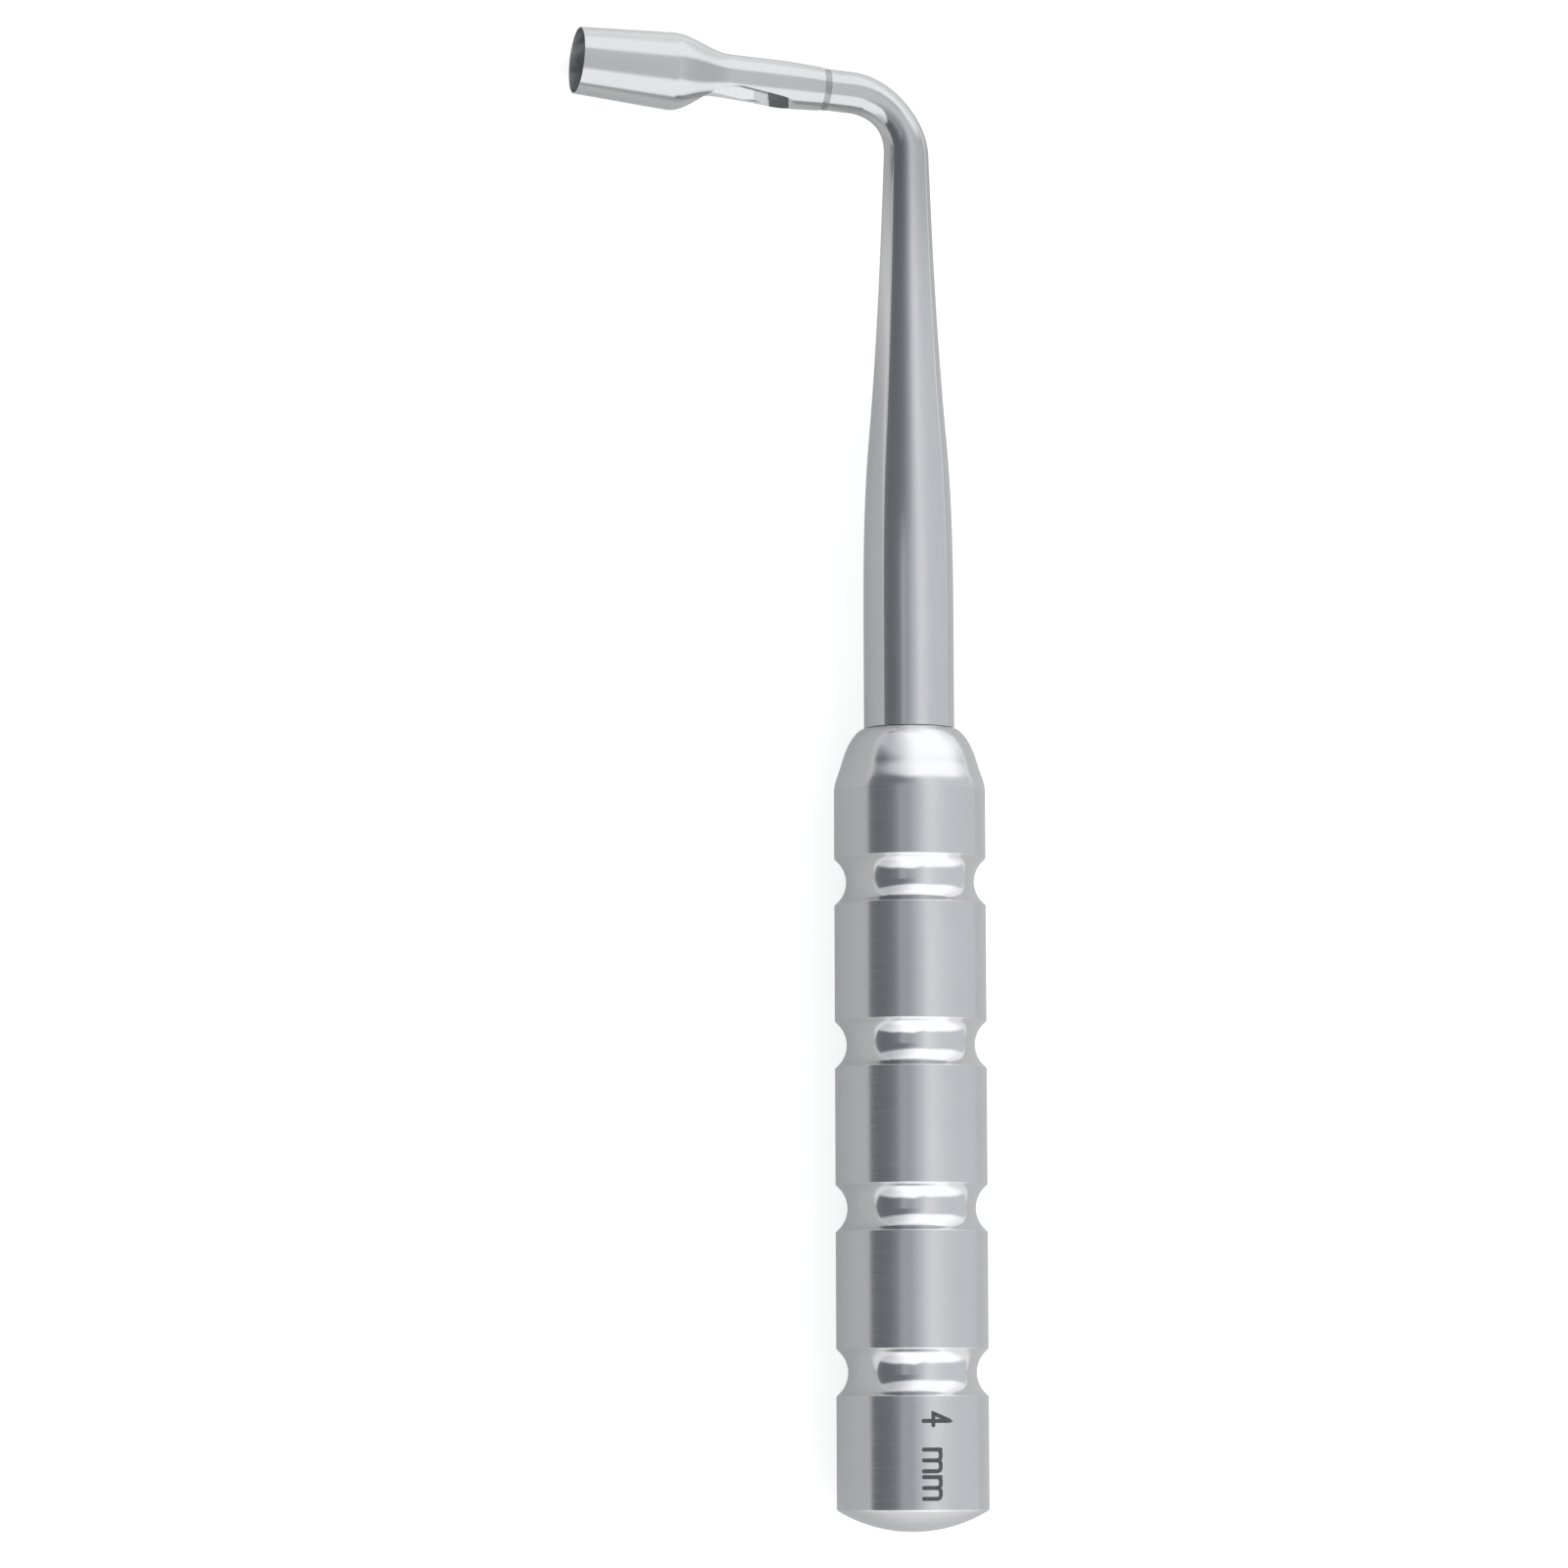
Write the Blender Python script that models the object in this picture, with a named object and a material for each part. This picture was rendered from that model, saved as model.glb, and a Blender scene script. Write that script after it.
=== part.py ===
"""Right-angled tissue punch: a turned grip handle, a bent tapering shank and a hollow cutting head.

Every piece is a body turned about its own centre line, so each one is a list of stations (how far along
the centre line, how large a radius) that is skinned with rings. Metres, +Z up. The instrument lies on its
side: the grip lands of the handle and the rim of the cutting mouth touch z = 0.
"""

import math

import bmesh
import bpy
from mathutils import Matrix, Vector

MM = 0.001

# Handle, along +Y from the edge where the domed butt begins
HANDLE_DIAMETER = 9.3 * MM
BUTT_DOME_HEIGHT = 1.26 * MM
BUTT_EDGE_CHAMFER = 0.1 * MM
FIRST_GROOVE_AT = 8.4 * MM
GROOVE_PITCH = 10.0 * MM
GROOVE_COUNT = 4
GROOVE_WIDTH = 2.9 * MM
GROOVE_DEPTH = 0.72 * MM
GROOVE_EDGE_CHAMFER = 0.2 * MM
FRONT_LAND_LENGTH = 4.2 * MM
SHOULDER_LENGTH = 3.75 * MM
NOSE_DIAMETER = 5.92 * MM
SHOULDER_START_ANGLE = math.radians(18)
SHOULDER_END_ANGLE = math.radians(59)
SHOULDER_START_PULL = 1.13 * MM
SHOULDER_END_PULL = 1.2 * MM

# Shank, on from the nose of the handle and round the bend to the head
SHANK_ROOT_DIAMETER = 5.56 * MM
SHANK_ROOT_LENGTH = 5.0 * MM
SHANK_SWELL_LENGTH = 12.7 * MM
SHANK_SWELL_DIAMETER = 4.81 * MM
SHANK_SWELL_SLOPE = -0.088
SHANK_BEND_DIAMETER = 2.79 * MM
SHANK_BEND_SLOPE = -0.036
SHANK_WAIST_DIAMETER = 2.38 * MM
SHANK_TIP_DIAMETER = 2.56 * MM
CORNER_HEIGHT = 87.26 * MM
BEND_RADIUS = 3.9 * MM
BEND_TURN = math.radians(86.35)
SHANK_TIP_STRAIGHT = 1.58 * MM

# Head, measured back from the cutting mouth along its own centre line
BORE_DIAMETER = 4.0 * MM
EDGE_THICKNESS = 0.055 * MM
BORE_DEPTH = 5.0 * MM
THROAT_DIAMETER = 2.5 * MM
THROAT_START = 8.6 * MM
THROAT_DEPTH = 12.0 * MM
BARREL_DIAMETER = 4.78 * MM
BARREL_LENGTH = 5.95 * MM
NECK_DIAMETER = 2.94 * MM
NECK_START = 9.6 * MM
NECK_TAPER_START = 13.7 * MM
HEAD_LENGTH = 15.55 * MM
HEAD_END_DIAMETER = 2.68 * MM

# Clearing window, milled through the underside of the head by a round cutter that is set askew
WINDOW_TURN = math.radians(6.2)
WINDOW_SKEW = math.radians(37.1)
WINDOW_DEEPEST_AT = 9.37 * MM
WINDOW_FLOOR_OFFSET = 0.81 * MM
WINDOW_FLOOR_LENGTH = 2.8 * MM
WINDOW_FLOOR_TILT = math.radians(5.5)
CUTTER_RADIUS = 3.18 * MM
CUTTER_ARC = math.radians(70)
RUN_OUT_RADIUS = 4.5 * MM
RUN_OUT_ARC = math.radians(50)

# Joints between the pieces
JOINT_GAP = 0.3 * MM
JOINT_CLEARANCE = 0.15 * MM
TANG_DIAMETER = 3.6 * MM
TANG_LENGTH = 10.0 * MM
TANG_TIP_CHAMFER = 0.4 * MM
SPIGOT_DIAMETER = 1.5 * MM
SPIGOT_LENGTH = 1.8 * MM
SPIGOT_TIP_CHAMFER = 0.15 * MM

# How finely the round forms are cut into facets
HANDLE_FACETS = 48
SHANK_FACETS = 32
HEAD_FACETS = 48
ARC_STEPS = 8
BEND_STEPS = 14
SHARP_EDGE = math.radians(25)

HANDLE_RADIUS = HANDLE_DIAMETER / 2
NOSE_AT = FIRST_GROOVE_AT + (GROOVE_COUNT - 1) * GROOVE_PITCH + GROOVE_WIDTH / 2
NOSE_AT += FRONT_LAND_LENGTH + SHOULDER_LENGTH
SHANK_START = NOSE_AT + JOINT_GAP
BEND_TANGENT = BEND_RADIUS * math.tan(BEND_TURN / 2)
BEND_START = CORNER_HEIGHT - BEND_TANGENT
BEND_LENGTH = BEND_RADIUS * BEND_TURN
SHANK_END = BEND_START + BEND_LENGTH + SHANK_TIP_STRAIGHT
MOUTH_TO_CORNER = BEND_TANGENT + SHANK_TIP_STRAIGHT + JOINT_GAP + HEAD_LENGTH
HEAD_DIRECTION = Vector((-math.sin(BEND_TURN), math.cos(BEND_TURN), 0))
MOUTH_CENTRE = Vector((0, CORNER_HEIGHT, 0)) + MOUTH_TO_CORNER * HEAD_DIRECTION
MOUTH_RADIUS = BORE_DIAMETER / 2 + EDGE_THICKNESS


def arc(start, end, radius, steps):
    """Points after start up to end on the arc that bulges to the left of the way from start to end."""
    chord = Vector(end) - Vector(start)
    rise = math.sqrt(radius ** 2 - chord.length_squared / 4)
    to_centre = Vector((chord.y, -chord.x)).normalized() * rise
    centre = (Vector(start) + Vector(end)) / 2 + to_centre
    spoke = Vector(start) - centre
    turn = 2 * math.asin(chord.length / (2 * radius))
    points = []
    for step in range(1, steps + 1):
        angle = -turn * step / steps
        cos, sin = math.cos(angle), math.sin(angle)
        points.append(centre + Vector((cos * spoke.x - sin * spoke.y, sin * spoke.x + cos * spoke.y)))
    return [tuple(point) for point in points]


def hollow_arc(start, end, depth, steps):
    """The same for an arc that dips by depth to the right of the way from start to end."""
    half = (Vector(end) - Vector(start)).length / 2
    radius = (half ** 2 + depth ** 2) / (2 * depth)
    mirrored = arc((start[0], -start[1]), (end[0], -end[1]), radius, steps)
    return [(along, -out) for along, out in mirrored]


def bezier(ends, angles, pulls, steps):
    """Points after the first end of the curve that leaves and meets its ends falling at the given angles."""
    first, last = Vector(ends[0]), Vector(ends[1])
    near = first + pulls[0] * Vector((math.cos(angles[0]), -math.sin(angles[0])))
    far = last - pulls[1] * Vector((math.cos(angles[1]), -math.sin(angles[1])))
    points = []
    for step in range(1, steps + 1):
        t = step / steps
        u = 1 - t
        point = u ** 3 * first + 3 * u * u * t * near + 3 * u * t * t * far + t ** 3 * last
        points.append(tuple(point))
    return points


def eased(start, end, start_slope, end_slope, steps):
    """Points after start on the smooth curve with the given slopes at its two ends."""
    length = end[0] - start[0]
    points = []
    for step in range(1, steps + 1):
        t = step / steps
        radius = (2 * t ** 3 - 3 * t ** 2 + 1) * start[1] + (3 * t ** 2 - 2 * t ** 3) * end[1]
        radius += length * ((t ** 3 - 2 * t ** 2 + t) * start_slope + (t ** 3 - t ** 2) * end_slope)
        points.append((start[0] + t * length, radius))
    return points


def groove(centre):
    """A ring groove: a round hollow between two small chamfers."""
    half = GROOVE_WIDTH / 2
    inner = half - GROOVE_EDGE_CHAMFER
    lip = HANDLE_RADIUS - GROOVE_EDGE_CHAMFER
    hollow = hollow_arc(
        (centre - inner, lip), (centre + inner, lip), GROOVE_DEPTH - GROOVE_EDGE_CHAMFER, ARC_STEPS
    )
    return [
        (centre - half, HANDLE_RADIUS),
        (centre - inner, lip),
        *hollow,
        (centre + half, HANDLE_RADIUS),
    ]


def handle_stations():
    """From the middle of the butt dome, along the outside to the nose, and down the socket for the tang."""
    dome_radius = HANDLE_RADIUS - BUTT_EDGE_CHAMFER
    sphere = (dome_radius ** 2 + BUTT_DOME_HEIGHT ** 2) / (2 * BUTT_DOME_HEIGHT)
    stations = [(-BUTT_DOME_HEIGHT, 0)]
    stations += arc(stations[0], (0, dome_radius), sphere, ARC_STEPS)
    stations.append((BUTT_EDGE_CHAMFER, HANDLE_RADIUS))
    for index in range(GROOVE_COUNT):
        stations += groove(FIRST_GROOVE_AT + index * GROOVE_PITCH)
    shoulder = (NOSE_AT - SHOULDER_LENGTH, HANDLE_RADIUS)
    stations.append(shoulder)
    stations += bezier(
        (shoulder, (NOSE_AT, NOSE_DIAMETER / 2)),
        (SHOULDER_START_ANGLE, SHOULDER_END_ANGLE),
        (SHOULDER_START_PULL, SHOULDER_END_PULL),
        2 * ARC_STEPS,
    )
    socket_radius = TANG_DIAMETER / 2 + JOINT_CLEARANCE
    socket_floor = SHANK_START - TANG_LENGTH - JOINT_GAP
    stations += [(NOSE_AT, socket_radius), (socket_floor, socket_radius), (socket_floor, 0)]
    return stations


def shank_stations():
    """From the tip of the tang, along the outside and round the bend, to the tip of the spigot."""
    root = SHANK_ROOT_DIAMETER / 2
    tang = TANG_DIAMETER / 2
    spigot = SPIGOT_DIAMETER / 2
    tang_tip = SHANK_START - TANG_LENGTH
    swell_start = SHANK_START + SHANK_ROOT_LENGTH
    swell_end = swell_start + SHANK_SWELL_LENGTH
    bend = (BEND_START, SHANK_BEND_DIAMETER / 2)
    spigot_tip = SHANK_END + SPIGOT_LENGTH
    stations = [
        (tang_tip, 0),
        (tang_tip, tang - TANG_TIP_CHAMFER),
        (tang_tip + TANG_TIP_CHAMFER, tang),
        (SHANK_START, tang),
        (SHANK_START, root),
        (swell_start, root),
    ]
    swell = (swell_end, SHANK_SWELL_DIAMETER / 2)
    stations += eased(stations[-1], swell, 0, SHANK_SWELL_SLOPE, ARC_STEPS)
    stations += eased(swell, bend, SHANK_SWELL_SLOPE, SHANK_BEND_SLOPE, ARC_STEPS)
    waist = (BEND_START + BEND_LENGTH / 2, SHANK_WAIST_DIAMETER / 2)
    tip = SHANK_TIP_DIAMETER / 2
    stations += eased(bend, waist, SHANK_BEND_SLOPE, 0, BEND_STEPS // 2)
    stations += eased(waist, (BEND_START + BEND_LENGTH, tip), 0, 0, BEND_STEPS // 2)
    stations += [
        (SHANK_END, tip),
        (SHANK_END, spigot),
        (spigot_tip - SPIGOT_TIP_CHAMFER, spigot),
        (spigot_tip, spigot - SPIGOT_TIP_CHAMFER),
        (spigot_tip, 0),
    ]
    return stations


def head_stations():
    """From the floor of the spigot's socket, out and forward to the mouth, and back down the bore."""
    socket_radius = SPIGOT_DIAMETER / 2 + JOINT_CLEARANCE
    socket_floor = HEAD_LENGTH - SPIGOT_LENGTH
    neck = NECK_DIAMETER / 2
    barrel = BARREL_DIAMETER / 2
    bore_end = (BORE_DEPTH, BORE_DIAMETER / 2)
    throat = THROAT_DIAMETER / 2
    stations = [
        (socket_floor, 0),
        (socket_floor, socket_radius),
        (HEAD_LENGTH, socket_radius),
        (HEAD_LENGTH, HEAD_END_DIAMETER / 2),
        (NECK_TAPER_START, neck),
        (NECK_START, neck),
    ]
    stations += eased(stations[-1], (BARREL_LENGTH, barrel), 0, 0, ARC_STEPS)
    stations += [(0, MOUTH_RADIUS), (0, BORE_DIAMETER / 2), bore_end]
    stations += eased(bore_end, (THROAT_START, throat), 0, 0, ARC_STEPS)
    stations += [(THROAT_DEPTH, throat), (THROAT_DEPTH, 0)]
    return stations


def window_outline():
    """Side view of what the window takes away: how far behind the mouth, how far below the centre line."""
    outside = BARREL_DIAMETER
    outline = []
    for step in range(ARC_STEPS + 1):
        angle = CUTTER_ARC * (1 - step / ARC_STEPS)
        rise = CUTTER_RADIUS * (1 - math.cos(angle))
        outline.append((WINDOW_DEEPEST_AT - CUTTER_RADIUS * math.sin(angle), WINDOW_FLOOR_OFFSET + rise))
    floor_end = WINDOW_DEEPEST_AT + WINDOW_FLOOR_LENGTH
    floor_rise = WINDOW_FLOOR_LENGTH * math.tan(WINDOW_FLOOR_TILT)
    for step in range(ARC_STEPS + 1):
        angle = WINDOW_FLOOR_TILT + RUN_OUT_ARC * step / ARC_STEPS
        ahead = RUN_OUT_RADIUS * (math.sin(angle) - math.sin(WINDOW_FLOOR_TILT))
        rise = RUN_OUT_RADIUS * (math.cos(WINDOW_FLOOR_TILT) - math.cos(angle))
        outline.append((floor_end + ahead, WINDOW_FLOOR_OFFSET + floor_rise + rise))
    return [(outline[0][0], outside), *outline, (outline[-1][0], outside)]


def straight(origin, direction):
    """Centre line of a straight piece: the place and the direction at a distance along it."""
    return lambda along: (origin + along * direction, direction)


def bent(along):
    """Centre line of the shank: up the handle's axis, round the bend, and on towards the head."""
    up = Vector((0, 1, 0))
    if along <= BEND_START:
        return along * up, up
    turned = min((along - BEND_START) / BEND_RADIUS, BEND_TURN)
    centre = Vector((-BEND_RADIUS, BEND_START, 0))
    direction = Vector((-math.sin(turned), math.cos(turned), 0))
    place = centre + BEND_RADIUS * Vector((math.cos(turned), math.sin(turned), 0))
    return place + max(along - BEND_START - BEND_LENGTH, 0) * direction, direction


def material(name, colour, roughness):
    """A metal with one colour and one polish."""
    steel = bpy.data.materials.new(name)
    steel.use_nodes = True
    shader = steel.node_tree.nodes["Principled BSDF"]
    shader.inputs["Base Color"].default_value = (*colour, 1)
    shader.inputs["Metallic"].default_value = 1
    shader.inputs["Roughness"].default_value = roughness
    return steel


def finished(name, mesh, steel, frame):
    """Turns a bmesh into a smooth-shaded object on the instrument's frame."""
    bmesh.ops.recalc_face_normals(mesh, faces=mesh.faces)
    data = bpy.data.meshes.new(name)
    mesh.to_mesh(data)
    mesh.free()
    data.materials.append(steel)
    data.shade_smooth()
    data.set_sharp_from_angle(angle=SHARP_EDGE)
    piece = bpy.data.objects.new(name, data)
    bpy.context.collection.objects.link(piece)
    piece.parent = frame
    return piece


def turned_piece(name, stations, centre_line, facets, steel, frame):
    """Skins the stations with rings round a centre line that lies in the XY plane."""
    mesh = bmesh.new()
    rings = []
    for along, radius in stations:
        place, direction = centre_line(along)
        if radius == 0:
            rings.append([mesh.verts.new(place)])
            continue
        side = direction.cross(Vector((0, 0, 1)))
        ring = []
        for index in range(facets):
            angle = 2 * math.pi * index / facets
            spoke = math.sin(angle) * side - math.cos(angle) * Vector((0, 0, 1))
            ring.append(mesh.verts.new(place + radius * spoke))
        rings.append(ring)
    for ring, following in zip(rings, rings[1:]):
        for index in range(facets):
            after = (index + 1) % facets
            if len(ring) == 1:
                mesh.faces.new((ring[0], following[index], following[after]))
            elif len(following) == 1:
                mesh.faces.new((ring[after], ring[index], following[0]))
            else:
                mesh.faces.new((ring[index], ring[after], following[after], following[index]))
    return finished(name, mesh, steel, frame)


def cut_window(head, frame):
    """Takes the window out of the head with a long prism that lies askew across it."""
    back = -HEAD_DIRECTION
    turn = Matrix.Rotation(WINDOW_TURN, 3, HEAD_DIRECTION)
    below = turn @ HEAD_DIRECTION.cross(Vector((0, 0, -1)))
    across = turn @ Vector((0, 0, 1)) + math.tan(WINDOW_SKEW) * back
    reach = BARREL_DIAMETER
    mesh = bmesh.new()
    sides = []
    for side in (-1, 1):
        corners = [
            mesh.verts.new(MOUTH_CENTRE + along * back + depth * below + side * reach * across)
            for along, depth in window_outline()
        ]
        mesh.faces.new(corners)
        sides.append(corners)
    count = len(sides[0])
    for index in range(count):
        after = (index + 1) % count
        mesh.faces.new((sides[0][index], sides[0][after], sides[1][after], sides[1][index]))
    cutter = finished("window_cutter", mesh, head.data.materials[0], frame)
    cutter.hide_render = True
    cutter.display_type = "WIRE"
    cut = head.modifiers.new("window", "BOOLEAN")
    cut.operation = "DIFFERENCE"
    cut.solver = "EXACT"
    cut.object = cutter


def lay_down(frame, pieces):
    """Rolls the instrument until handle and mouth rim touch the floor, with the origin under its middle."""
    reach = -MOUTH_CENTRE.x
    roll = math.asin(HANDLE_RADIUS / math.hypot(reach, MOUTH_RADIUS)) - math.atan(MOUTH_RADIUS / reach)
    turn = Matrix.Rotation(-roll, 4, "Y")
    corners = [turn @ vertex.co for piece in pieces for vertex in piece.data.vertices]
    low = [min(corner[axis] for corner in corners) for axis in range(3)]
    high = [max(corner[axis] for corner in corners) for axis in range(3)]
    shift = Vector((-(low[0] + high[0]) / 2, -(low[1] + high[1]) / 2, -low[2]))
    frame.matrix_world = Matrix.Translation(shift) @ turn


def build():
    for old in list(bpy.data.objects):
        bpy.data.objects.remove(old)
    frame = bpy.data.objects.new("instrument", None)
    bpy.context.collection.objects.link(frame)
    satin = material("satin_steel", (0.56, 0.57, 0.58), 0.3)
    polished = material("polished_steel", (0.62, 0.63, 0.64), 0.15)
    upright = straight(Vector((0, 0, 0)), Vector((0, 1, 0)))
    back_from_mouth = straight(MOUTH_CENTRE, -HEAD_DIRECTION)
    handle = turned_piece("handle", handle_stations(), upright, HANDLE_FACETS, satin, frame)
    shank = turned_piece("shank", shank_stations(), bent, SHANK_FACETS, polished, frame)
    head = turned_piece("punch_head", head_stations(), back_from_mouth, HEAD_FACETS, polished, frame)
    cut_window(head, frame)
    lay_down(frame, (handle, shank, head))


build()
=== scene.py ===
"""Looks of the tissue punch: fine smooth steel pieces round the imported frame, on a white floor in a studio.

Lengths are in millimetres in the instrument's own frame: the handle runs along +Y from the edge where its
domed butt begins, and the head points towards -X. A mesh becomes metres in the row frame when it is shown.
"""

import math

import bmesh
import bpy
from mathutils import Matrix, Vector


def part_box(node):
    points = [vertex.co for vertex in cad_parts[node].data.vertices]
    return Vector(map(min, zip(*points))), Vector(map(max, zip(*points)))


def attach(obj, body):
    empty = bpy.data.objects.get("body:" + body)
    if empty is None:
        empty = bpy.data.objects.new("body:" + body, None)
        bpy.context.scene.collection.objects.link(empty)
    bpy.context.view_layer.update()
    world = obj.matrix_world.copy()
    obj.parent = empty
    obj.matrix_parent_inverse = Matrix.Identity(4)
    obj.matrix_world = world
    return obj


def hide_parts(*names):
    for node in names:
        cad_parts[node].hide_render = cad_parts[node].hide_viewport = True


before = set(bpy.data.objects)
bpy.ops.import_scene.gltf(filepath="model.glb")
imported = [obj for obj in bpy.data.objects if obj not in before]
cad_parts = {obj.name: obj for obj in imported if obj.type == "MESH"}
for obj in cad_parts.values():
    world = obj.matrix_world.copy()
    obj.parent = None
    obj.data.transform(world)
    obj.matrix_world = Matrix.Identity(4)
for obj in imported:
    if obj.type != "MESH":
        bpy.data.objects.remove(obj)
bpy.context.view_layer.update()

MM = 0.001

# Handle
HANDLE_RADIUS = 4.65
BUTT_DOME_HEIGHT = 1.26
BUTT_EDGE_CHAMFER = 0.1
FIRST_GROOVE_AT = 8.4
GROOVE_PITCH = 10.0
GROOVE_COUNT = 4
GROOVE_WIDTH = 2.9
GROOVE_DEPTH = 0.72
GROOVE_EDGE_CHAMFER = 0.2
FRONT_LAND_LENGTH = 4.2
SHOULDER_LENGTH = 3.75
NOSE_RADIUS = 2.96
SHOULDER_ANGLES = (math.radians(18), math.radians(59))
SHOULDER_PULLS = (1.13, 1.2)
EASE_BEFORE_SHOULDER = 0.15
EASE_INTO_SHOULDER = 1.45
EASE_PULL = (EASE_BEFORE_SHOULDER + EASE_INTO_SHOULDER) / 2.5

# Shank
SHANK_ROOT_RADIUS = 2.78
SHANK_ROOT_LENGTH = 5.0
SHANK_SWELL_LENGTH = 12.7
SHANK_SWELL_RADIUS = 2.405
SHANK_SWELL_SLOPE = -0.088
SHANK_BEND_RADIUS = 1.395
SHANK_BEND_SLOPE = -0.036
SHANK_WAIST_RADIUS = 1.19
SHANK_TIP_RADIUS = 1.28
CORNER_HEIGHT = 87.26
BEND_RADIUS = 3.9
BEND_TURN = math.radians(86.35)
SHANK_TIP_STRAIGHT = 1.58

# Head
BORE_RADIUS = 2.0
EDGE_THICKNESS = 0.055
BORE_DEPTH = 5.0
THROAT_RADIUS = 1.25
THROAT_START = 8.6
THROAT_DEPTH = 12.0
BARREL_RADIUS = 2.39
BARREL_LENGTH = 5.95
NECK_RADIUS = 1.47
NECK_START = 9.6
NECK_TAPER_START = 12.6
NECK_TAPER = -0.07
HEAD_LENGTH = 15.55
HEAD_END_RADIUS = 1.34

# Window in the head, the pocket at its end and the ramp inside it
WINDOW_TURN = math.radians(6.2)
WINDOW_SKEW = math.radians(37.1)
WINDOW_DEEPEST_AT = 9.37
WINDOW_FLOOR_OFFSET = 0.81
WINDOW_FLOOR_LENGTH = 2.8
WINDOW_FLOOR_TILT = math.radians(5.5)
CUTTER_RADIUS = 3.18
CUTTER_ARC = math.radians(70)
RUN_OUT_RADIUS = 4.5
RUN_OUT_ARC = math.radians(50)
POCKET_START = 12.3
POCKET_END = 13.6
POCKET_SKEW = math.radians(-17.7)
RAMP_RADIUS = 1.35
RAMP_FACING = math.radians(60)
# How far behind the mouth, how far the ramp's flat lies from the centre line
RAMP_STATIONS = (
    (7.0, -1.2), (7.7, -0.5), (8.3, -0.08), (9.2, -0.02), (11.25, -0.02), (12.2, 0.35), (12.3, 1.3), (13.7, 1.3),
)

# Seams
JOINT_GAP = 0.3
SEAM_DEPTH = 0.5
SEAM_WIDTH = 0.06
SEAM_RADIUS = 2.66
WELD_ON_HEAD = 0.2
WELD_ON_SHANK = 0.12
WELD_PROUD = 0.012
WELD_HOLLOW = 0.03

# Size mark on the last land, in distances from the butt's edge and heights above its base line
MARK_BASE_ANGLE = math.radians(-15.8)
MARK_STROKE = 0.25
MARK_DEPTH = 0.02
MARK_PROUD = 0.004
MARK_STEP = 0.05
MARK_CAP_STEPS = 5
MITRE_LIMIT = 1.6
FOUR = ((5.45, 0.0), (5.45, 1.7), (5.9, 0.6), (5.19, 0.6))
LETTERS_AT = (3.73, 2.08)
LEG_PITCH = 0.65
LETTER_HEIGHT = 1.05
LETTER_CORNER = 0.2
CORNER_CUT = 0.3 * LETTER_CORNER

# Fineness of the meshes
HANDLE_FACETS = 256
FACETS = 192
CURVE_STEPS = 40
EDGE_ROUNDING = 0.05
HEAD_EDGE_ROUNDING = 0.015
MOST_OF_FLAT = 0.4
LONG_FLAT = 6
SHARP_ANGLE = math.radians(35)
SHARP_CUT_ANGLE = math.radians(25)

# Finishes of a piece's faces: the places of its materials
LAND, GROOVE, SHOULDER = range(3)
DRAWN, SEAM = range(2)
OUTSIDE, BORE, POCKET, RAMP, RIM, EDGE = range(6)
FINISH_MARGIN = 0.01
LAND_MARGIN = 0.001

SHOULDER_AT = FIRST_GROOVE_AT + (GROOVE_COUNT - 1) * GROOVE_PITCH + GROOVE_WIDTH / 2 + FRONT_LAND_LENGTH
NOSE_AT = SHOULDER_AT + SHOULDER_LENGTH
SHANK_START = NOSE_AT + JOINT_GAP
BEND_TANGENT = BEND_RADIUS * math.tan(BEND_TURN / 2)
BEND_START = CORNER_HEIGHT - BEND_TANGENT
BEND_LENGTH = BEND_RADIUS * BEND_TURN
SHANK_END = BEND_START + BEND_LENGTH + SHANK_TIP_STRAIGHT
MOUTH_TO_CORNER = BEND_TANGENT + SHANK_TIP_STRAIGHT + JOINT_GAP + HEAD_LENGTH
HEAD_DIRECTION = Vector((-math.sin(BEND_TURN), math.cos(BEND_TURN), 0))
MOUTH_CENTRE = Vector((0, CORNER_HEIGHT, 0)) + MOUTH_TO_CORNER * HEAD_DIRECTION
MOUTH_RADIUS = BORE_RADIUS + EDGE_THICKNESS

# The instrument lies on its handle and its mouth's rim, so it is rolled about the handle's axis
reach = -MOUTH_CENTRE.x
ROLL = math.asin(HANDLE_RADIUS / math.hypot(reach, MOUTH_RADIUS)) - math.atan(MOUTH_RADIUS / reach)
low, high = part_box("handle")
AXIS_FOOT = Vector(((low.x + high.x) / 2, low.y + BUTT_DOME_HEIGHT * MM, (low.z + high.z) / 2))
TO_ROW = Matrix.Translation(AXIS_FOOT) @ Matrix.Rotation(-ROLL, 4, "Y") @ Matrix.Scale(MM, 4)


# Curves that the profiles are made of

def arc(start, end, radius, steps):
    """Points after start up to end on the arc that bulges to the left of the way from start to end."""
    chord = Vector(end) - Vector(start)
    rise = math.sqrt(max(radius ** 2 - chord.length_squared / 4, 0))
    centre = (Vector(start) + Vector(end)) / 2 + Vector((chord.y, -chord.x)).normalized() * rise
    spoke = Vector(start) - centre
    turn = 2 * math.asin(min(chord.length / (2 * radius), 1))
    points = []
    for step in range(1, steps + 1):
        points.append(centre + Matrix.Rotation(-turn * step / steps, 2) @ spoke)
    return [tuple(point) for point in points]


def hollow_arc(start, end, depth, steps):
    """The same for an arc that dips by depth to the right of the way from start to end."""
    half = (Vector(end) - Vector(start)).length / 2
    radius = (half ** 2 + depth ** 2) / (2 * depth)
    return [(along, -out) for along, out in arc((start[0], -start[1]), (end[0], -end[1]), radius, steps)]


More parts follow.
